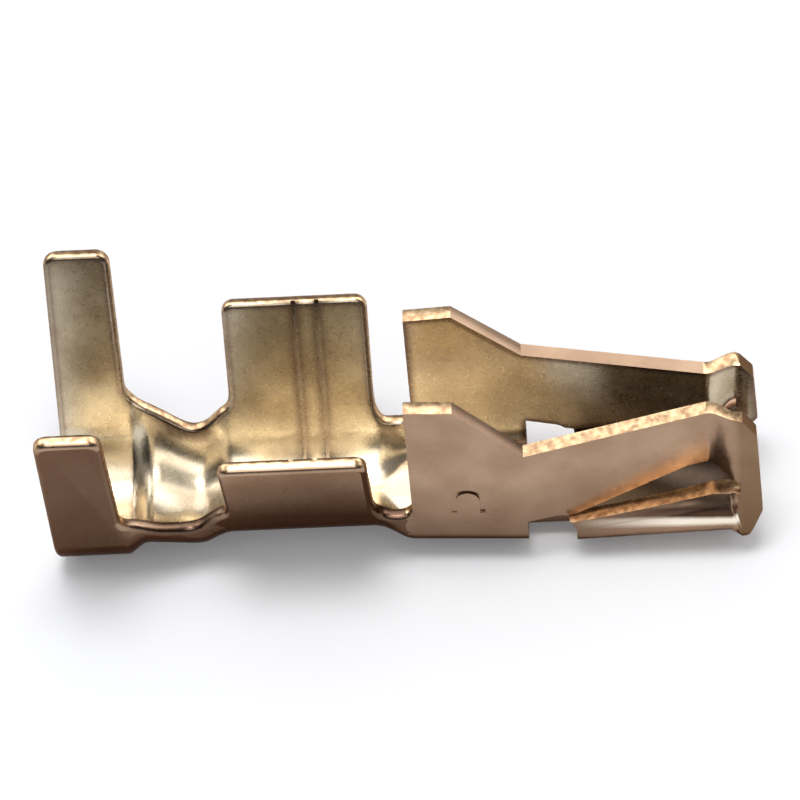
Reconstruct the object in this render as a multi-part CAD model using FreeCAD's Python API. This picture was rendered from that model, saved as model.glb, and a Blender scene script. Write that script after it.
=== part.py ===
"""Crimp socket contact: one strip of plated brass, stamped out and formed.

Frame, in millimetres: X runs along the contact to its mating end, Y runs across it, and Z is up,
the way the barrels open. The origin is the middle of the footprint, at the contact's lowest point.
"""
import FreeCAD, Part
import math
import os
from collections import namedtuple

V = FreeCAD.Vector

# Strip
sheet = 0.32

# Lengths along X, from the rear end to the mating end
insulation_length = 1.53
rear_neck_length = 2.23
wire_length = 3.07
front_neck_length = 0.79
box_length = 2.40
arm_length = 3.80
flare_length = 0.68
collar_length = 0.45

# Insulation barrel
insulation_flat = 0.02
insulation_bend = 1.78
insulation_spread = 2.70
insulation_height = 5.85
insulation_corner = 0.30
insulation_taper = 0.15
insulation_heel = 0.90

# Rear neck, between the barrels: it steps up from the insulation barrel, then narrows and sinks to a waist
neck_flat = 0.12
neck_lean = math.radians(4)
neck_rear_bend = 1.66
neck_rear_base = 0.42
neck_rear_blend = 0.46
neck_waist_bend = 1.37
neck_waist_base = 0.16
neck_waist_from_wire = 0.68
neck_shoulder_height = 2.05
neck_slope_reach = 0.36
neck_slope_height = 1.57
neck_middle_reach = 0.95
neck_middle_height = 1.24
neck_saddle = 1.12
neck_saddle_from_wire = 0.72
neck_rise_from_wire = 0.22
neck_rise_height = 1.55

# Wire barrel
wire_flat = 0.02
wire_bend = 1.42
wire_spread = 2.42
wire_height = 4.40
wire_corner = 0.26

# Radius to which the free edges of the barrels and necks are rounded over, on both faces
rim_round = 0.12

# Pair of grooves across the inside of the wire barrel, to grip the strands
groove_from_rear = 1.48
groove_pitch = 0.49
groove_width = 0.10
groove_depth = 0.07

# Front neck, between the wire barrel and the box
front_saddle = 1.13
front_saddle_from_box = 0.32
front_shoulder_height = 1.90
front_fillet = 0.30

# Box
floor_rise = 0.40
box_rear_half_width = 1.41
box_front_half_width = 1.54
box_bend = 0.60
box_height = 4.50
box_top_length = 1.00
arm_root_height = 3.10

# Contact arms
arm_height = 3.25
pinch_half_width = 0.70
arm_under_rear = 0.88
arm_under_front = 1.68
arm_under_level = 1.10

# Front channel and collar
channel_half_width = 1.55
channel_bend = 0.40
collar_foot_half_width = 1.60
collar_half_width = 0.94
mouth_turn = 0.08
strip_rear_height = 0.85
strip_front_height = 1.37
strip_level = 0.60
strip_curl_bend = 0.75
strip_curl_lean = math.radians(-34)
strip_merge = 0.22

# Windows on the bends, one each side
window_length = 1.02
window_height = 0.95
window_front_round = 0.42
window_floor_half_width = 0.80
window_floor_round = 0.25

# Cut corners of the collar
collar_toe_length = 0.42
collar_toe_height = 0.87
collar_brow_length = 0.40
collar_brow_height = 0.50
collar_rake = 0.08
collar_round = 0.22

# Coined arch on the box's right-hand wall
arch_from_rear = 1.18
arch_top = 1.95
arch_radius = 0.30
arch_leg = 0.40
arch_line = 0.10
arch_depth = 0.05

# Steps of each smooth change of section, how far a flat face's points may leave its plane, how far two
# measures of one length may differ, and the least angle between the faces beside a corner
blend_steps = 5
plane_tolerance = 0.000001
length_tolerance = sheet / 100
corner_angle = math.radians(50)

# Shares of the rim radius that are tried in turn, for sizes at which the full radius doesn't fit
rim_shares = (1.0, 0.85, 0.7, 0.5)

# Stations along X
total_length = (insulation_length + rear_neck_length + wire_length + front_neck_length
                + box_length + arm_length + flare_length + collar_length)
x_rear = -total_length / 2
x_insulation = x_rear + insulation_length
x_wire = x_insulation + rear_neck_length
x_neck = x_wire + wire_length
x_box = x_neck + front_neck_length
x_root = x_box + box_length
x_pinch = x_root + arm_length
x_collar = x_pinch + flare_length
x_front = x_collar + collar_length

# Cross-section of the formed strip: half of the flat floor, outer radius of the two bends, lean of the
# walls away from upright, and height of the underside
Form = namedtuple("Form", "flat bend lean base")


def leaning(flat, bend, base, half_width, height):
    """Form whose outer wall face, tangent to its bend, passes half_width at height."""
    across = half_width - flat
    above = height - base - bend
    reach = math.hypot(across, above)
    return Form(flat, bend, math.acos(bend / reach) - math.atan2(above, across), base)


insulation = leaning(insulation_flat, insulation_bend, 0.0, insulation_spread, insulation_height)
neck_rear = Form(neck_flat, neck_rear_bend, neck_lean, neck_rear_base)
neck_waist = Form(neck_flat, neck_waist_bend, neck_lean, neck_waist_base)
wire = leaning(wire_flat, wire_bend, floor_rise, wire_spread, wire_height)
box_rear = Form(box_rear_half_width - box_bend, box_bend, 0.0, floor_rise)
box_front = Form(box_front_half_width - box_bend, box_bend, 0.0, floor_rise)
channel = Form(channel_half_width - channel_bend, channel_bend, 0.0, floor_rise)
curl = Form(collar_foot_half_width - strip_curl_bend, strip_curl_bend, strip_curl_lean, floor_rise)
collar = leaning(collar_foot_half_width - channel_bend, channel_bend, floor_rise,
                 collar_half_width, floor_rise + arm_height)
mouth = leaning(collar_foot_half_width - mouth_turn - channel_bend, channel_bend, floor_rise,
                collar_half_width - mouth_turn, floor_rise + arm_height)


def ease(share):
    """Share of a smooth step, level at both ends."""
    return share * share * (3 - 2 * share)


def between(first, last, share):
    """Form part of the way from first to last."""
    return Form(*[a + (b - a) * share for a, b in zip(first, last)])


def edge_points(x, form, top, skin):
    """Points of one face of the sheet, skin deep from the outer face, from one wall's top to the other."""
    radius = form.bend - skin
    centre = form.base + form.bend
    climb = (top - centre + form.bend * math.sin(form.lean)) / math.cos(form.lean)

    def on_bend(angle):
        return form.flat + radius * math.cos(angle), centre + radius * math.sin(angle)

    foot = on_bend(-form.lean)
    middle = on_bend(-(math.pi / 2 + form.lean) / 2)
    bottom = on_bend(-math.pi / 2)
    tip = (foot[0] + climb * math.sin(form.lean), foot[1] + climb * math.cos(form.lean))
    half = [tip, foot, middle, bottom]
    right = [V(x, y, z) for y, z in half]
    left = [V(x, -y, z) for y, z in reversed(half)]
    return right + left


def face_edges(points):
    """Wall, bend, floor, bend and wall edges through the points of one face."""
    return [
        Part.makeLine(points[0], points[1]),
        Part.Arc(points[1], points[2], points[3]).toShape(),
        Part.makeLine(points[3], points[4]),
        Part.Arc(points[4], points[5], points[6]).toShape(),
        Part.makeLine(points[6], points[7]),
    ]


def outline(x, form, top, outer=0.0, inner=sheet):
    """Closed outline of the sheet cut across at x, between two depths from its outer face."""
    near = edge_points(x, form, top, outer)
    far = edge_points(x, form, top, inner)
    edges = face_edges(near) + [Part.makeLine(near[-1], far[-1])]
    edges += face_edges(far[::-1]) + [Part.makeLine(far[0], near[0])]
    return Part.Wire(edges)


def straight(x_start, x_end, form, top, outer=0.0, inner=sheet):
    """Stretch of sheet with one section."""
    return Part.Face(outline(x_start, form, top, outer, inner)).extrude(V(x_end - x_start, 0, 0))


def lofted(stations, top, ruled=False):
    """Stretch of sheet through (x, form) stations."""
    return Part.makeLoft([outline(x, form, top) for x, form in stations], True, ruled)


def eased_stations(x_start, x_end, first, last):
    """Stations of a smooth change from first to last."""
    stations = []
    for step in range(blend_steps + 1):
        share = step / blend_steps
        stations.append((x_start + (x_end - x_start) * share, between(first, last, ease(share))))
    return stations


def side_cutter(edges):
    """Prism across the whole contact from a closed outline in the XZ plane."""
    width = 4 * insulation_spread
    face = Part.Face(Part.Wire(edges))
    face.translate(V(0, -width / 2, 0))
    return face.extrude(V(0, width, 0))


def polygon(points):
    """Straight edges that close through (x, z) points."""
    corners = [V(x, 0, z) for x, z in points]
    return [Part.makeLine(a, b) for a, b in zip(corners, corners[1:] + corners[:1])]


def rounded_polygon(points, radii):
    """Edges that close through (x, z) points, with each corner rounded to its radius, or sharp where that is 0."""
    corners = [V(x, 0, z) for x, z in points]
    starts, ends, arcs = [], [], []
    for place, corner in enumerate(corners):
        before = (corner - corners[place - 1]).normalize()
        after = (corners[(place + 1) % len(corners)] - corner).normalize()
        half_turn = before.getAngle(after) / 2
        reach = radii[place] * math.tan(half_turn)
        starts.append(corner - before * reach)
        ends.append(corner + after * reach)
        inward = (after - before).normalize()
        to_arc = radii[place] / math.cos(half_turn) - radii[place]
        arcs.append(corner + inward * to_arc)
    edges = []
    for place, radius in enumerate(radii):
        if radius > 0:
            edges.append(Part.Arc(starts[place], arcs[place], ends[place]).toShape())
        edges.append(Part.makeLine(ends[place], starts[(place + 1) % len(corners)]))
    return edges


def above_curve(points, start_tangent, end_tangent):
    """Cutter of all that lies above a smooth curve through (x, z) points."""
    curve = Part.BSplineCurve()
    curve.interpolate(
        Points=[V(x, 0, z) for x, z in points],
        InitialTangent=V(*start_tangent),
        FinalTangent=V(*end_tangent),
    )
    ceiling = 2 * insulation_height
    start = V(points[0][0], 0, points[0][1])
    end = V(points[-1][0], 0, points[-1][1])
    start_up = V(start.x, 0, ceiling)
    end_up = V(end.x, 0, ceiling)
    return side_cutter([
        curve.toShape(),
        Part.makeLine(end, end_up),
        Part.makeLine(end_up, start_up),
        Part.makeLine(start_up, start),
    ])


def rounded_wings(body, top, corner):
    """Barrel with the corners of its wings rounded in the plane of the sheet."""
    tips = []
    for edge in body.Edges:
        ends = [vertex.Point for vertex in edge.Vertexes]
        through = len(ends) == 2 and abs(edge.Length - sheet) < length_tolerance
        if through and min(point.z for point in ends) > top - sheet:
            tips.append(edge)
    return body.makeFillet(corner, tips)


def insulation_barrel():
    """Insulation barrel: wings narrower than the root, and a rounded heel under the rear end."""
    body = straight(x_rear, x_insulation, insulation, insulation_height)
    top = insulation_height + sheet
    profile = side_cutter(rounded_polygon(
        [(x_rear, 0), (x_rear + insulation_taper, top), (x_insulation, top), (x_insulation, -sheet)],
        [insulation_heel, 0, 0, 0],
    ))
    return rounded_wings(body.common(profile), insulation_height, insulation_corner)


def wire_barrel():
    """Wire barrel before its grooves are cut."""
    return rounded_wings(straight(x_wire, x_neck, wire, wire_height), wire_height, wire_corner)


def strand_grooves():
    """Shapes of the grooves that grip the strands."""
    grooves = []
    for place in range(2):
        x_groove = x_wire + groove_from_rear + groove_pitch * place
        grooves.append(straight(x_groove, x_groove + groove_width, wire, wire_height + sheet,
                                sheet - groove_depth, sheet + groove_depth))
    return grooves


def rear_neck():
    """Low channel that joins the barrels, its walls dipping to a saddle."""
    x_step = x_insulation + neck_rear_blend
    x_waist = x_wire - neck_waist_from_wire
    z_shoulder = floor_rise + neck_shoulder_height
    z_cut = z_shoulder + sheet
    stations = eased_stations(x_insulation, x_step, insulation, neck_rear)
    stations += eased_stations(x_step, x_waist, neck_rear, neck_waist)[1:]
    stations += eased_stations(x_waist, x_wire, neck_waist, wire)[1:]
    tall = lofted(stations, z_cut)
    dip = above_curve(
        [
            (x_insulation, z_shoulder),
            (x_insulation + neck_slope_reach, floor_rise + neck_slope_height),
            (x_insulation + neck_middle_reach, floor_rise + neck_middle_height),
            (x_wire - neck_saddle_from_wire, floor_rise + neck_saddle),
            (x_wire - neck_rise_from_wire, floor_rise + neck_rise_height),
            (x_wire, z_shoulder),
        ],
        (0, 0, -1),
        (0, 0, 1),
    )
    return tall.cut(dip)


def front_neck():
    """Short channel from the round wire barrel to the square box."""
    tall = lofted(eased_stations(x_neck, x_box, wire, box_rear), floor_rise + front_shoulder_height + sheet)
    dip = above_curve(
        [
            (x_neck, floor_rise + front_shoulder_height),
            (x_box - front_saddle_from_box, floor_rise + front_saddle),
            (x_box, floor_rise + front_saddle + front_fillet),
        ],
        (0, 0, -1),
        (0, 0, 1),
    )
    return tall.cut(dip)


def is_corner(body, edge):
    """Whether the two faces beside an edge meet at about a right angle."""
    faces = body.ancestorsOfType(edge, Part.Face)
    if len(faces) != 2:
        return False
    middle = edge.valueAt((edge.FirstParameter + edge.LastParameter) / 2)
    normals = [face.normalAt(*face.Surface.parameter(middle)) for face in faces]
    return abs(normals[0].dot(normals[1])) < math.cos(corner_angle)


def rounded_rims(body):
    """Barrels and necks with their free edges rounded over; each rounding runs on round the whole outline."""
    z_root = floor_rise + neck_shoulder_height
    rims = []
    for edge in body.Edges:
        middle = edge.valueAt((edge.FirstParameter + edge.LastParameter) / 2)
        if middle.z > z_root and is_corner(body, edge):
            rims.append(edge)
    for share in rim_shares:
        try:
            rounded = body.makeFillet(rim_round * share, rims)
        except Part.OCCError:
            continue
        if rounded.isValid():
            return rounded
    return body


def box_body():
    """Square channel whose walls slope down to the arms."""
    body = lofted([(x_box, box_rear), (x_root, box_front)], floor_rise + box_height, True)
    z_top = floor_rise + box_height
    slope = side_cutter(polygon([
        (x_box + box_top_length, z_top),
        (x_root, floor_rise + arm_root_height),
        (x_root + sheet, floor_rise + arm_root_height),
        (x_root + sheet, z_top + sheet),
        (x_box + box_top_length, z_top + sheet),
    ]))
    return body.cut(slope)


def wall_half_width(form, height):
    """Distance from the middle plane to a wall's outer face at a height."""
    centre = form.base + form.bend
    foot_y = form.flat + form.bend * math.cos(form.lean)
    foot_z = centre - form.bend * math.sin(form.lean)
    return foot_y + (height - foot_z) * math.tan(form.lean)


def wall_outline(x, under, over):
    """Outline of one upright wall cut across at x, from two (y, z) points of its outer face."""
    lean = math.atan2(over[0] - under[0], over[1] - under[1])
    inward = V(0, -sheet * math.cos(lean), sheet * math.sin(lean))
    low = V(x, *under)
    high = V(x, *over)
    return Part.makePolygon([low, high, high + inward, low + inward, low])


def flared(start, slope, end, share):
    """Half width on a flare that leaves start along a slope and ends level at end."""
    bend = share * (1 - share) * (1 - share) * flare_length * slope
    return start + (end - start) * ease(share) + bend


def right_arm():
    """Arm that runs in from the box wall to the pinch and flares out again to the collar."""
    slope = (pinch_half_width - box_front_half_width) / arm_length
    z_low = floor_rise + window_height / 2
    z_high = floor_rise + arm_height
    root = wall_outline(x_root, (box_front_half_width, z_low),
                        (box_front_half_width, floor_rise + arm_root_height))
    pinch = wall_outline(x_pinch, (pinch_half_width, z_low), (pinch_half_width, z_high))
    stations = []
    for step in range(blend_steps + 1):
        share = step / blend_steps
        low = flared(pinch_half_width, slope, wall_half_width(collar, z_low), share)
        high = flared(pinch_half_width, slope, wall_half_width(collar, z_high), share)
        stations.append(wall_outline(x_pinch + flare_length * share, (low, z_low), (high, z_high)))
    arm = Part.makeLoft([root, pinch], True, True).fuse(Part.makeLoft(stations, True, False))
    under = lance_line(arm_under_rear, arm_under_front, arm_under_level)
    return arm.cut(side_cutter(polygon(under + [(x_collar, -sheet), (x_root, -sheet)])))


def lance_line(rear, front, level):
    """Sheared edge in side view: level over the window, rising, and level again at the front."""
    return [
        (x_root, floor_rise + rear),
        (x_root + window_length, floor_rise + rear),
        (x_collar - level, floor_rise + front),
        (x_collar, floor_rise + front),
    ]


def front_channel():
    """Floor and side strips ahead of the box, with the collar at their front."""
    top = floor_rise + arm_height
    above = lance_line(strip_rear_height, strip_front_height, strip_level)
    strip_top = floor_rise + strip_front_height + sheet
    x_curl = x_collar - strip_merge
    strips = lofted([(x_root, channel), (x_curl, curl)], strip_top, True)
    strips = strips.fuse(lofted([(x_curl, curl), (x_collar, collar)], strip_top, True))
    strips = strips.cut(side_cutter(polygon(above + [(x_collar, top), (x_root, top)])))
    ring = lofted(eased_stations(x_collar, x_front, collar, mouth), top, True)
    profile = side_cutter(rounded_polygon(
        [
            (x_collar, floor_rise),
            (x_front - collar_toe_length, floor_rise),
            (x_front, floor_rise + collar_toe_height),
            (x_front - collar_rake, top - collar_brow_height),
            (x_front - collar_brow_length, top),
            (x_collar, top),
        ],
        [0, collar_round, collar_round, collar_round, collar_round, 0],
    ))
    return strips.fuse(ring.common(profile))


def window_punch():
    """Punch for the right-hand window: square at the rear, rounded at the front."""
    x_end = x_root + window_length
    z_top = floor_rise + window_height
    turn = window_front_round
    middle = turn * math.sqrt(0.5)
    corner = V(x_end - turn, 0, z_top - turn)
    arc = Part.Arc(corner + V(0, 0, turn), corner + V(middle, 0, middle), corner + V(turn, 0, 0)).toShape()
    low = -sheet
    rear_low, rear_high = V(x_root, 0, low), V(x_root, 0, z_top)
    front_low = V(x_end, 0, low)
    edges = [
        Part.makeLine(rear_low, rear_high),
        Part.makeLine(rear_high, corner + V(0, 0, turn)),
        arc,
        Part.makeLine(corner + V(turn, 0, 0), front_low),
        Part.makeLine(front_low, rear_low),
    ]
    face = Part.Face(Part.Wire(edges))
    face.translate(V(0, window_floor_half_width, 0))
    punch = face.extrude(V(0, channel_half_width, 0))
    inner = []
    for edge in punch.Edges:
        ends = [vertex.Point for vertex in edge.Vertexes]
        upright = abs(ends[0].x - ends[1].x) + abs(ends[0].y - ends[1].y) < length_tolerance
        if upright and ends[0].x > x_end - sheet and ends[0].y < box_bend + window_floor_half_width / 2:
            inner.append(edge)
    return punch.makeFillet(window_floor_round, inner)


def coined_arch():
    """Shallow arch-shaped line pressed into the outer face of the box's right-hand wall."""
    x_arch = x_box + arch_from_rear
    z_arch = floor_rise + arch_top - arch_radius
    outer, inner = arch_radius + arch_line / 2, arch_radius - arch_line / 2
    left = [V(x_arch - outer, 0, z_arch), V(x_arch - inner, 0, z_arch)]
    right = [V(x_arch + outer, 0, z_arch), V(x_arch + inner, 0, z_arch)]
    leg = V(0, 0, -arch_leg)
    edges = [
        Part.Arc(left[0], V(x_arch, 0, z_arch + outer), right[0]).toShape(),
        Part.makeLine(right[0], right[0] + leg),
        Part.makeLine(right[0] + leg, right[1] + leg),
        Part.makeLine(right[1] + leg, right[1]),
        Part.Arc(right[1], V(x_arch, 0, z_arch + inner), left[1]).toShape(),
        Part.makeLine(left[1], left[1] + leg),
        Part.makeLine(left[1] + leg, left[0] + leg),
        Part.makeLine(left[0] + leg, left[0]),
    ]
    face = Part.Face(Part.Wire(edges))
    share = arch_from_rear / box_length
    y_wall = box_rear_half_width + (box_front_half_width - box_rear_half_width) * share
    face.translate(V(0, -y_wall - arch_depth, 0))
    return face.extrude(V(0, 2 * arch_depth, 0))


def mirrored(shape):
    return shape.mirror(V(0, 0, 0), V(0, 1, 0))


def outward(face):
    """Normal of a face at the middle of its parameters."""
    first_u, last_u, first_v, last_v = face.ParameterRange
    return face.normalAt((first_u + last_u) / 2, (first_v + last_v) / 2)


def with_true_planes(solid):
    """The same solid, with a plane under each of its flat faces."""
    faces = []
    for face in solid.Faces:
        plane = face.findPlane(plane_tolerance)
        if plane and len(face.Wires) == 1:
            flat_face = Part.Face(plane, face.OuterWire)
            if outward(flat_face).dot(outward(face)) < 0:
                flat_face.reverse()
            face = flat_face
        faces.append(face)
    return Part.Solid(Part.Shell(faces)).removeSplitter()


def socket_contact():
    """The whole contact as one solid."""
    arm = right_arm()
    punch = window_punch()
    barrels = insulation_barrel().fuse([rear_neck(), wire_barrel(), front_neck()]).removeSplitter()
    rear = rounded_rims(barrels.Solids[0]).cut(strand_grooves())
    front = front_channel().fuse([arm, mirrored(arm)]).cut([punch, mirrored(punch)])
    body = box_body().cut(coined_arch())
    return with_true_planes(rear.fuse([body, front]).removeSplitter().Solids[0])


contact = socket_contact()
print("valid", contact.isValid(), "solids", len(contact.Solids), "volume", round(contact.Volume, 3))
bounds = contact.BoundBox
print("size", round(bounds.XLength, 2), round(bounds.YLength, 2), round(bounds.ZLength, 2))
os.makedirs("parts", exist_ok=True)
contact.Solids[0].exportStep("parts/socket_contact.step")
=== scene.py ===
import bmesh
import bpy
import math
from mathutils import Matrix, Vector


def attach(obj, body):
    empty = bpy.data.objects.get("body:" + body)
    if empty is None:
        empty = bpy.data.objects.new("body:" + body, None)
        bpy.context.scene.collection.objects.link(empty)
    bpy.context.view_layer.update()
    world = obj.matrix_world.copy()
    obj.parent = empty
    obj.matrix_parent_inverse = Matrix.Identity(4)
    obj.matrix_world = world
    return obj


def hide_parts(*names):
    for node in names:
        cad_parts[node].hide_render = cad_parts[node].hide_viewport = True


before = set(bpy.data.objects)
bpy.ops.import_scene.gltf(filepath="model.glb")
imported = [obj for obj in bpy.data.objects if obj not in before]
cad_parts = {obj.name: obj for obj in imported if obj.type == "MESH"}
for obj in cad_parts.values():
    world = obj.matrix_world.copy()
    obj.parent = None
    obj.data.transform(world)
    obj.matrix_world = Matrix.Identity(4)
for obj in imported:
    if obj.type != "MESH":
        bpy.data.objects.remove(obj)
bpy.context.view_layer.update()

MM = 0.001

# Copy of the CAD mesh: welding distance, angle under which faces are one, and the softened edges
WELD = 0.002 * MM
FLAT_ANGLE = math.radians(0.2)
CREASE_ANGLE = math.radians(32)
EDGE_ROUND = 0.035 * MM
EDGE_SEGMENTS = 2

# Camera, as fitted to the photograph; the focal length is in widths of the picture
CAMERA_TARGET = Vector((0.015, 0.0, 3.67)) * MM
CAMERA_DISTANCE = 110 * MM
CAMERA_NEAR = CAMERA_DISTANCE / 10
CAMERA_FAR = CAMERA_DISTANCE * 30
CAMERA_ELEVATION = math.radians(50)
CAMERA_TURN = math.radians(-4.32)
CAMERA_ROLL = math.radians(5.77)
SENSOR_WIDTH = 36.0
FOCAL_SHARE = 5280 / 800

# Studio
FLOOR_COLOUR = (0.88, 0.89, 0.91, 1)
FLOOR_GLOW = 0.11
FLOOR_SIZE = 2.0
ROOM_GREY = (0.25, 0.25, 0.26, 1)

# Dark card behind the camera: lowest and highest elevation, and sweep round the contact
CARD_COLOUR = (0.03, 0.028, 0.03, 1)
CARD_DISTANCE = 300 * MM
CARD_ELEVATIONS = (math.radians(1), math.radians(37))
CARD_SWEEP = math.radians(170)
CARD_STEPS = 12

# Soft boxes: elevation and turn in degrees, distance and two sides in metres, how bright they look,
# whether they light things, and whether metal mirrors them
SOFT_BOXES = {
    "key_box": (85, 150, 0.2, (0.075, 0.075), 11, True, True),
    "soft_top": (88, 150, 0.25, (0.5, 0.5), 0.6, True, False),
    "back_box": (62, 5, 0.3, (0.85, 0.17), 2.3, False, True),
    "front_box": (52, 180, 0.3, (0.20, 0.14), 3.0, False, True),
    "left_box": (28, 52, 0.3, (0.28, 0.18), 1.8, False, True),
    "right_box": (28, -52, 0.3, (0.28, 0.18), 1.8, False, True),
}

# Plating: the strip's two skins and its sheared edges, and the painted shade and painted light laid over
# them; the inner skin is paler than the outer skin of the same plating, partly as painted light
OUTER_BRIGHT = (0.45, 0.31, 0.21, 1)
OUTER_DULL = (0.36, 0.235, 0.155, 1)
INNER_BRIGHT = (0.76, 0.66, 0.49, 1)
INNER_DULL = (0.50, 0.41, 0.28, 1)
SHEARED_BRIGHT = (0.80, 0.57, 0.33, 1)
SHEARED_DULL = (0.38, 0.23, 0.13, 1)
EDGE_ON_TINT = (0.50, 0.43, 0.41, 1)
# Painted shade for the outer skin, also used for the side strips' dark line
PAINTED_SHADE_TINT = (0.085, 0.045, 0.030, 1)
COLLAR_SHADE_TINT = (0.16, 0.09, 0.04, 1)
RIM_SHADE_TINT = (0.20, 0.13, 0.10, 1)
INNER_SHADE_TINT = (0.08, 0.055, 0.04, 1)
PAINTED_LIGHT_TINT = (0.95, 0.85, 0.70, 1)

# Finishes: bright colour, dull colour, least roughness, and scale of the blotches
FINISHES = {
    "outer": (OUTER_BRIGHT, OUTER_DULL, 0.24, 900.0),
    "inner": (INNER_BRIGHT, INNER_DULL, 0.23, 900.0),
    "sheared": (SHEARED_BRIGHT, SHEARED_DULL, 0.25, 7000.0),
}
BLOTCH_DETAIL = 3.0
BLOTCH_RANGE = (0.35, 0.65)
GRAIN_SCALE = 9000.0
GRAIN_DETAIL = 2.0
GRAIN_RELIEF = 0.001 * MM
ROUGHNESS_SPREAD = 0.10

# Skins are told apart by how far a face looks away from the heart of the section:
# 1 for the outer skin, -1 for the inner one and about 0 for a sheared edge
HEART_HEIGHT = 1.6 * MM
SKIN_START = 0.25
SKIN_FULL = 0.55

# Painted shade in a dark band on the inner skin beside its edges: its width, and how alike the true and
# the softened normal are where it starts and where it is darkest
RIM_WIDTH = 0.28 * MM
RIM_SAMPLES = 6
RIM_ALIKE = (0.9985, 0.96)

# Painted shade on the outer skin, darker towards the floor and where it looks down
SHADE_STRENGTH = 0.8
SHADE_HEIGHTS = (2.7 * MM, 0.35 * MM)
SHADE_LEAN = (0.03, 0.27)

# Wire barrel, whose outer skin keeps less painted shade towards the top though it looks down
WIRE_START = -4.1 * MM
WIRE_END = -0.8 * MM
WIRE_LOW = 1.8 * MM
WIRE_HIGH = 4.0 * MM
WIRE_LIFT = 1.0

# Box and arms: where the box starts behind the necks, and where the arms start
BOX_START = 0.0 * MM
ARMS_START = 1.0 * MM

# Coined arch, which takes the outer skin's finish
ARCH_DEPTH_START = 1.38 * MM
ARCH_START = 0.85 * MM
ARCH_END = 2.0 * MM
ARCH_TOP = 2.5 * MM

# Far arm's top edge, which takes the outer skin's finish as painted shade in place of its bright sheared
# colour
FAR_EDGE_TOP = 4.45 * MM
FAR_EDGE_LEAN = 0.6
FAR_EDGE_SIDE = 0.8 * MM

# Slanted edges from the box down to the arms, which take the outer skin's finish and half its painted
# shade
SLANT_LEAN = 0.35
SLANT_SHADE = 0.5

# Necks and lower wings, whose near rims take the outer skin's finish as painted shade and get darker
# painted shade below
NECK_SIDE = 0.9 * MM
NECK_TOP = 2.2 * MM
NECK_LOW = 1.7 * MM
NECK_SHADE = 0.85

# Front of the collar, whose outer skin is darkened by painted shade
COLLAR_START = 6.8 * MM
COLLAR_FULL = 7.05 * MM
COLLAR_SHADE_SHARE = 0.6

# Side strips below the arms, rolled, with a painted pale reflection line and a painted dark reflection
# line;
# the lines are placed by height, in shares of STRIP_HEIGHT
STRIP_START = 3.6 * MM
STRIP_FULL = 5.6 * MM
STRIP_END = 6.95 * MM
STRIP_HEIGHT = 1.8 * MM
STRIP_REFLECTION_BANDS = (
    (0.56, OUTER_DULL),
    (0.63, PAINTED_LIGHT_TINT),
    (0.68, PAINTED_LIGHT_TINT),
    (0.73, PAINTED_SHADE_TINT),
    (0.82, PAINTED_SHADE_TINT),
    (0.88, OUTER_DULL),
)

# Inside of the box, which takes painted light, fullest at its back and fading along the arms
LIGHT_FULLEST = 0.3 * MM
LIGHT_GONE = 5.0 * MM
LIGHT_SHARE = 0.48

# Inner skin of the wings, with painted shade darker towards the top
WING_LOW = 2.4 * MM
WING_HIGH = 5.9 * MM
WING_TOP_SHADE = 0.5

# Far wall of the rear neck, which carries a patch of painted shade
PATCH_START = -5.6 * MM
PATCH_END = -3.75 * MM
PATCH_SOFT = 0.5 * MM
PATCH_LOW = 0.95 * MM
PATCH_HIGH = 1.35 * MM
PATCH_SHADE = 0.95

# Part of the strip that lies inside the mating end, where painted shade is darkest
RECESS_START = 2.4 * MM
RECESS_FULL = 3.6 * MM
RECESS_TOP = 1.5 * MM


def new_object(name, data):
    """New object at the origin of the scene."""
    made = bpy.data.objects.new(name, data)
    bpy.context.scene.collection.objects.link(made)
    return made


def add_camera():
    """The photograph's camera: long lens, looking down at the contact's side."""
    right = Vector((math.cos(CAMERA_TURN), -math.sin(CAMERA_TURN), 0))
    ahead = Vector((math.sin(CAMERA_TURN), math.cos(CAMERA_TURN), 0))
    up = ahead * math.sin(CAMERA_ELEVATION) + Vector((0, 0, math.cos(CAMERA_ELEVATION)))
    forward = ahead * math.cos(CAMERA_ELEVATION) - Vector((0, 0, math.sin(CAMERA_ELEVATION)))
    rolled_right = right * math.cos(CAMERA_ROLL) - up * math.sin(CAMERA_ROLL)
    rolled_up = right * math.sin(CAMERA_ROLL) + up * math.cos(CAMERA_ROLL)
    place = CAMERA_TARGET - forward * CAMERA_DISTANCE
    data = bpy.data.cameras.new("camera")
    data.sensor_width = SENSOR_WIDTH
    data.lens = SENSOR_WIDTH * FOCAL_SHARE
    data.clip_start = CAMERA_NEAR
    data.clip_end = CAMERA_FAR
    camera = new_object("camera", data)
    matrix = camera.matrix_world.copy()
    for row in range(3):
        matrix[row][0] = rolled_right[row]
        matrix[row][1] = rolled_up[row]
        matrix[row][2] = -forward[row]
        matrix[row][3] = place[row]
    camera.matrix_world = matrix
    bpy.context.scene.camera = camera


def aim(elevation, turn, distance):
    """Place at an elevation from the floor and a turn from straight behind to the left, in degrees."""
    up, left = math.radians(elevation), math.radians(turn)
    toward = Vector((-math.sin(left) * math.cos(up), math.cos(left) * math.cos(up), math.sin(up)))
    return toward * distance


def add_lamp(name, place, size, radiance):
    """Soft box that faces the contact; radiance is how bright it looks."""
    data = bpy.data.lights.new(name, "AREA")
    data.shape = "RECTANGLE"
    data.size, data.size_y = size
    data.energy = radiance * math.pi * size[0] * size[1]
    lamp = new_object(name, data)
    lamp.location = place
    lamp.rotation_mode = "QUATERNION"
    lamp.rotation_quaternion = place.to_track_quat("Z", "Y")
    return lamp


def add_soft_boxes():
    """All lamps: some light the contact, some are only there for the metal to mirror."""
    for name, (elevation, turn, distance, size, radiance, lights, mirrored) in SOFT_BOXES.items():
        lamp = add_lamp(name, aim(elevation, turn, distance), size, radiance)
        lamp.visible_diffuse = lights
        lamp.visible_glossy = mirrored


def new_material(name):
    """New material with an empty node tree."""
    material = bpy.data.materials.new(name)
    material.use_nodes = True
    material.node_tree.nodes.clear()
    return material, material.node_tree


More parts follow.
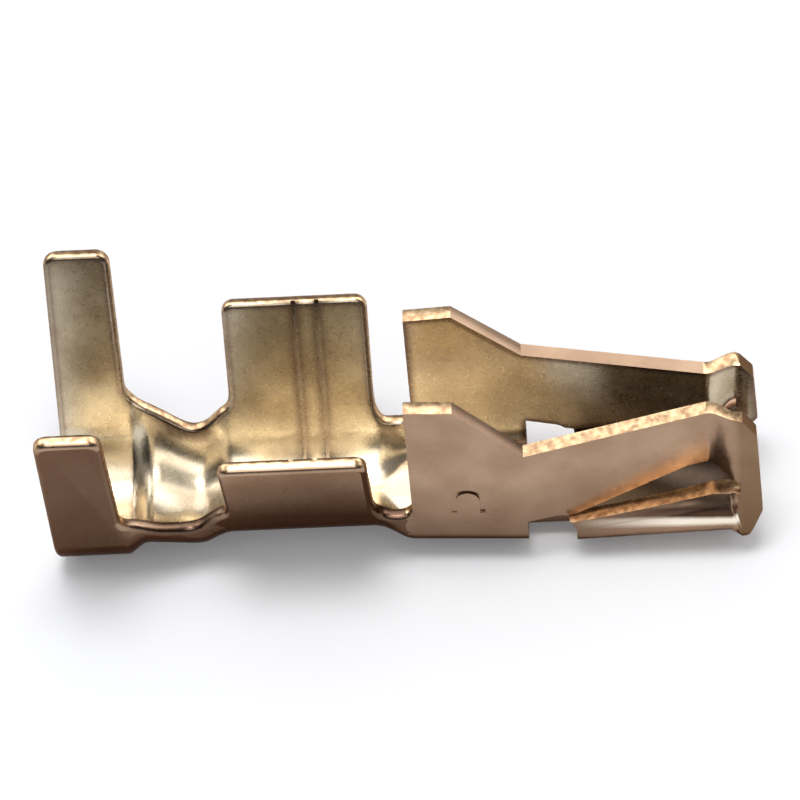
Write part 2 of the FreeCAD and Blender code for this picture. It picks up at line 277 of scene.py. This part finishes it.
def node(tree, kind, settings=(), **given):
    """New node with its settings, and its inputs set from values or linked from sockets.

    An input is given by its name with _ for a space, or as in0, in1 and so on.
    """
    made = tree.nodes.new(kind)
    for name, value in dict(settings).items():
        setattr(made, name, value)
    for name, value in given.items():
        socket = made.inputs[int(name[2:]) if name.startswith("in") else name.replace("_", " ")]
        if isinstance(value, bpy.types.NodeSocket):
            tree.links.new(value, socket)
        else:
            socket.default_value = value
    return made


def worked_out(tree, operation, *values):
    """Result of a maths node."""
    given = {f"in{place}": value for place, value in enumerate(values)}
    return node(tree, "ShaderNodeMath", {"operation": operation}, **given).outputs[0]


def ramped(tree, value, start, full, most=1.0):
    """0 where the value is at start, rising to most where it is at full, and held beyond both."""
    span = node(tree, "ShaderNodeMapRange", Value=value, From_Min=start, From_Max=full, To_Max=most)
    return span.outputs["Result"]


def mixed(tree, kind, share, first, second):
    """First and second mixed by a share of the second, as colours (RGBA) or numbers (FLOAT)."""
    mix = node(tree, "ShaderNodeMix", {"data_type": kind}, Factor=share, A=first, B=second)
    return mix.outputs["Result"]


def marked(tree, name):
    """What mark_corners wrote under a name."""
    return node(tree, "ShaderNodeAttribute", {"attribute_name": name}).outputs["Fac"]


def seen_ray(tree):
    """1 where the camera, a reflection or a see-through ray meets the surface, 0 for light on things."""
    path = node(tree, "ShaderNodeLightPath").outputs
    mirrored = worked_out(tree, "MAXIMUM", path["Is Glossy Ray"], path["Is Transmission Ray"])
    return worked_out(tree, "MAXIMUM", path["Is Camera Ray"], mirrored)


def add_floor():
    """Pale floor that stays white behind the contact and keeps its shadow."""
    material, tree = new_material("pale_floor")
    paper = node(tree, "ShaderNodeBsdfDiffuse", Color=FLOOR_COLOUR)
    level = worked_out(tree, "MULTIPLY", seen_ray(tree), FLOOR_GLOW)
    glow = node(tree, "ShaderNodeEmission", Strength=level)
    both = node(tree, "ShaderNodeAddShader", in0=paper.outputs[0], in1=glow.outputs[0])
    node(tree, "ShaderNodeOutputMaterial", Surface=both.outputs[0])
    mesh = bpy.data.meshes.new("floor")
    grid = bmesh.new()
    bmesh.ops.create_grid(grid, x_segments=1, y_segments=1, size=FLOOR_SIZE)
    grid.to_mesh(mesh)
    grid.free()
    mesh.materials.append(material)
    floor = new_object("floor", mesh)


def light_world():
    """Plain grey room."""
    world = bpy.data.worlds.new("room")
    bpy.context.scene.world = world
    world.use_nodes = True
    tree = world.node_tree
    tree.nodes.clear()
    background = node(tree, "ShaderNodeBackground", Color=ROOM_GREY)
    node(tree, "ShaderNodeOutputWorld", Surface=background.outputs[0])


def add_dark_card():
    """Dark card behind the camera, so that the metal has something dark to mirror."""
    material, tree = new_material("dark_card")
    matte = node(tree, "ShaderNodeBsdfDiffuse", Color=CARD_COLOUR)
    node(tree, "ShaderNodeOutputMaterial", Surface=matte.outputs[0])
    low, high = CARD_ELEVATIONS
    arc = bmesh.new()
    foot = arc.verts.new((0, -CARD_DISTANCE * math.cos(low), CARD_DISTANCE * math.sin(low)))
    turns = {"cent": (0, 0, 0), "steps": CARD_STEPS}
    bmesh.ops.spin(arc, geom=[foot], axis=(-1, 0, 0), angle=high - low, **turns)
    bmesh.ops.spin(arc, geom=arc.edges[:] + arc.verts[:], axis=(0, 0, 1), angle=CARD_SWEEP / 2, **turns)
    half = arc.verts[:] + arc.edges[:] + arc.faces[:]
    bmesh.ops.mirror(arc, geom=half, axis="X", merge_dist=WELD)
    bmesh.ops.recalc_face_normals(arc, faces=arc.faces)
    mesh = bpy.data.meshes.new("dark_card")
    arc.to_mesh(mesh)
    arc.free()
    mesh.materials.append(material)
    card = new_object("dark_card", mesh)
    card.visible_camera = False
    card.visible_shadow = False
    card.visible_diffuse = False


def plating_group():
    """Node group: one finish of the plating, mottled in blotches and finely grained."""
    group = bpy.data.node_groups.new("plating", "ShaderNodeTree")
    bright, dull, roughness, blotch_scale = FINISHES["inner"]
    for name, kind, value in (
        ("Bright", "NodeSocketColor", bright),
        ("Dull", "NodeSocketColor", dull),
        ("Blotch Scale", "NodeSocketFloat", blotch_scale),
        ("Grain Scale", "NodeSocketFloat", GRAIN_SCALE),
        ("Roughness", "NodeSocketFloat", roughness),
        ("Roughness Spread", "NodeSocketFloat", ROUGHNESS_SPREAD),
    ):
        socket = group.interface.new_socket(name=name, in_out="INPUT", socket_type=kind)
        socket.default_value = value
    for name, kind in (
        ("Color", "NodeSocketColor"),
        ("Roughness", "NodeSocketFloat"),
        ("Height", "NodeSocketFloat"),
    ):
        group.interface.new_socket(name=name, in_out="OUTPUT", socket_type=kind)
    given = group.nodes.new("NodeGroupInput").outputs
    place = node(group, "ShaderNodeTexCoord").outputs["Object"]
    blotch, grain = (
        node(group, "ShaderNodeTexNoise", Vector=place, Scale=given[scale], Detail=detail).outputs["Fac"]
        for scale, detail in (("Blotch Scale", BLOTCH_DETAIL), ("Grain Scale", GRAIN_DETAIL))
    )
    tint = mixed(group, "RGBA", ramped(group, blotch, *BLOTCH_RANGE), given["Bright"], given["Dull"])
    rough = worked_out(group, "MULTIPLY_ADD", grain, given["Roughness Spread"], given["Roughness"])
    node(group, "NodeGroupOutput", Color=tint, Roughness=rough, Height=grain)
    return group


def rim_shade_share(tree):
    """Share of painted shade: 1 beside the strip's edges and 0 away from them, from how far a softened
    normal turns there.
    """
    soft = node(tree, "ShaderNodeBevel", {"samples": RIM_SAMPLES}, Radius=RIM_WIDTH).outputs["Normal"]
    true = node(tree, "ShaderNodeNewGeometry").outputs["Normal"]
    alike = node(tree, "ShaderNodeVectorMath", {"operation": "DOT_PRODUCT"}, in0=soft, in1=true)
    return ramped(tree, alike.outputs["Value"], *RIM_ALIKE)


def painted_strip_reflections(tree, height):
    """Painted pale and dark reflection lines of the side strips."""
    lines = node(tree, "ShaderNodeValToRGB", Fac=ramped(tree, height, 0.0, STRIP_HEIGHT))
    stops = lines.color_ramp.elements
    stops.remove(stops[1])
    stops[0].position, stops[0].color = STRIP_REFLECTION_BANDS[0]
    for level, colour in STRIP_REFLECTION_BANDS[1:]:
        stops.new(level).color = colour
    return lines.outputs["Color"]


def outer_colour(tree, colour, place):
    """Colour of the outer skin: painted shade low down and across the front of the collar, and painted
    reflection lines on the side strips.
    """
    # Painted shade on the outer skin, low down and where it looks down
    low = ramped(tree, place["Z"], *SHADE_HEIGHTS, SHADE_STRENGTH)
    shade = worked_out(tree, "MAXIMUM", marked(tree, "under"), low)
    colour = mixed(tree, "RGBA", shade, colour, PAINTED_SHADE_TINT)
    # Painted shade across the front of the collar
    front = ramped(tree, place["X"], COLLAR_START, COLLAR_FULL, COLLAR_SHADE_SHARE)
    colour = mixed(tree, "RGBA", front, colour, COLLAR_SHADE_TINT)
    # Painted reflection lines on the side strips
    return mixed(tree, "RGBA", marked(tree, "roll"), colour, painted_strip_reflections(tree, place["Z"]))


def inner_colour(tree, colour):
    """Colour of the inner skin: painted light in the box, painted shade beside the edges, and darkest
    painted shade in the mating end.
    """
    # Painted light inside the box
    colour = mixed(tree, "RGBA", marked(tree, "fresh"), colour, PAINTED_LIGHT_TINT)
    # Painted shade beside the inner skin's edges
    colour = mixed(tree, "RGBA", rim_shade_share(tree), colour, RIM_SHADE_TINT)
    # Painted shade in the mating end, at the wings' tops and on the rear neck's patch
    return mixed(tree, "RGBA", marked(tree, "recess"), colour, INNER_SHADE_TINT)


def plating_material():
    """One plating whose finish follows the strip's skins: outer, inner and sheared edge."""
    material, tree = new_material("plated_strip")
    group = plating_group()
    outer, inner, sheared = (
        node(tree, "ShaderNodeGroup", {"node_tree": group}, Bright=bright, Dull=dull,
             Roughness=roughness, Blotch_Scale=blotch_scale).outputs
        for bright, dull, roughness, blotch_scale in FINISHES.values()
    )
    coordinates = node(tree, "ShaderNodeTexCoord").outputs["Object"]
    place = node(tree, "ShaderNodeSeparateXYZ", Vector=coordinates).outputs
    skin = marked(tree, "skin")
    to_outer = ramped(tree, skin, SKIN_START, SKIN_FULL)
    to_inner = ramped(tree, skin, -SKIN_START, -SKIN_FULL)

    def by_skin(kind, at_sheared, at_outer, at_inner):
        return mixed(tree, kind, to_inner, mixed(tree, kind, to_outer, at_sheared, at_outer), at_inner)

    colour = by_skin("RGBA", sheared["Color"], outer_colour(tree, outer["Color"], place),
                     inner_colour(tree, inner["Color"]))
    rough, height = (
        by_skin("FLOAT", sheared[name], outer[name], inner[name]) for name in ("Roughness", "Height")
    )
    relief = node(tree, "ShaderNodeBump", Height=height, Distance=GRAIN_RELIEF, Strength=1.0)
    shader = node(tree, "ShaderNodeBsdfPrincipled", Base_Color=colour, Metallic=1.0, Roughness=rough,
                  Specular_Tint=EDGE_ON_TINT, Normal=relief.outputs["Normal"])
    node(tree, "ShaderNodeOutputMaterial", Surface=shader.outputs[0])
    return material


def between(low, high, value):
    """How far a value has come from low to high, held between 0 and 1."""
    return min(1.0, max(0.0, (value - low) / (high - low)))


def outward_share(face, middle):
    """How far a face looks away from the heart of the strip's section."""
    outward = Vector((0, middle.y, min(0.0, middle.z - HEART_HEIGHT)))
    return face.normal.dot(outward.normalized())


def takes_outer_finish(face, middle, share):
    """Whether a face is on the coined arch, the far arm's top edge or a near rim of the necks; on the
    edge and the rims the outer finish is painted shade.
    """
    arch = middle.y < -ARCH_DEPTH_START and ARCH_START < middle.x < ARCH_END and middle.z < ARCH_TOP
    far_edge = (middle.x > ARMS_START and middle.y > FAR_EDGE_SIDE
                and middle.z < FAR_EDGE_TOP and face.normal.z > FAR_EDGE_LEAN)
    neck_rim = (middle.x < BOX_START and middle.y < -NECK_SIDE
                and middle.z < NECK_TOP and abs(share) < SKIN_FULL)
    return arch or far_edge or neck_rim


def is_slanted(face, middle, share):
    """Whether a face is one of the slanted edges from the box down to the arms."""
    leans = face.normal.x > SLANT_LEAN and face.normal.z > SLANT_LEAN
    return middle.x > ARMS_START and abs(share) < SKIN_FULL and leans


def under_share(face, middle, corner, slanted):
    """How much painted shade a corner of the outer skin takes, from where it looks down and how low it
    lies.
    """
    lift = WIRE_LIFT * (WIRE_START < middle.x < WIRE_END) * between(WIRE_LOW, WIRE_HIGH, corner.z)
    below = between(*SHADE_LEAN, -face.normal.z) * (1 - lift)
    neck = NECK_SHADE * (middle.x < BOX_START) * between(NECK_TOP, NECK_LOW, corner.z)
    return max(below, SLANT_SHADE * slanted, neck)


def recess_share(middle, corner):
    """How much painted shade a corner of the inner skin takes: in the mating end, at the wings' tops and
    on the patch.
    """
    mouth = (middle.z < RECESS_TOP) * between(RECESS_START, RECESS_FULL, corner.x)
    wing_top = WING_TOP_SHADE * (middle.x < BOX_START) * between(WING_LOW, WING_HIGH, corner.z)
    along = (between(PATCH_START, PATCH_START + PATCH_SOFT, corner.x)
             * between(PATCH_END, PATCH_END - PATCH_SOFT, corner.x))
    patch = PATCH_SHADE * (middle.y > 0) * along * between(PATCH_LOW, PATCH_HIGH, corner.z)
    return max(mouth, wing_top, patch)


def roll_share(middle, corner, share):
    """How clearly a corner of the outer skin shows the side strips' painted reflection lines."""
    on_strip = share > SKIN_FULL and STRIP_START < middle.x < STRIP_END and middle.z < STRIP_HEIGHT
    return on_strip * between(STRIP_START, STRIP_FULL, corner.x)


def fresh_share(middle, corner):
    """How much painted light a corner of the inner skin takes."""
    return LIGHT_SHARE * (middle.x > BOX_START) * between(LIGHT_GONE, LIGHT_FULLEST, corner.x)


def mark_corners(work):
    """Marks each corner of a mesh with its skin and with the share of each painted shade and painted
    light laid over it.
    """
    names = ("skin", "under", "recess", "roll", "fresh")
    layers = {name: work.loops.layers.float.new(name) for name in names}
    for face in work.faces:
        middle = face.calc_center_median()
        share = outward_share(face, middle)
        if takes_outer_finish(face, middle, share):
            share = 1.0
        slanted = is_slanted(face, middle, share)
        if slanted:
            share = 1.0
        for loop in face.loops:
            corner = loop.vert.co
            loop[layers["skin"]] = share
            loop[layers["under"]] = under_share(face, middle, corner, slanted)
            loop[layers["recess"]] = recess_share(middle, corner)
            loop[layers["roll"]] = roll_share(middle, corner, share)
            loop[layers["fresh"]] = fresh_share(middle, corner)


def add_formed_strip():
    """The whole contact: a merged copy of the CAD solid with softened edges and its skins told apart."""
    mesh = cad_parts["socket_contact"].data.copy()
    mesh.name = "formed_strip"
    mesh.materials.clear()
    work = bmesh.new()
    work.from_mesh(mesh)
    bmesh.ops.remove_doubles(work, verts=work.verts, dist=WELD)
    bmesh.ops.dissolve_limit(work, angle_limit=FLAT_ANGLE, verts=work.verts, edges=work.edges)
    mark_corners(work)
    for face in work.faces:
        face.smooth = True
        face.material_index = 0
    work.to_mesh(mesh)
    work.free()
    mesh.materials.append(plating_material())
    strip = new_object("formed_strip", mesh)
    bevel = strip.modifiers.new("soft_edges", "BEVEL")
    bevel.width = EDGE_ROUND
    bevel.segments = EDGE_SEGMENTS
    bevel.limit_method = "ANGLE"
    bevel.angle_limit = CREASE_ANGLE
    bevel.use_clamp_overlap = True
    weighted = strip.modifiers.new("flat_faces", "WEIGHTED_NORMAL")
    weighted.keep_sharp = True
    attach(strip, "root")
    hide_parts("socket_contact")


add_camera()
add_floor()
light_world()
add_dark_card()
add_soft_boxes()
add_formed_strip()

bpy.context.scene.view_settings.view_transform = "Standard"
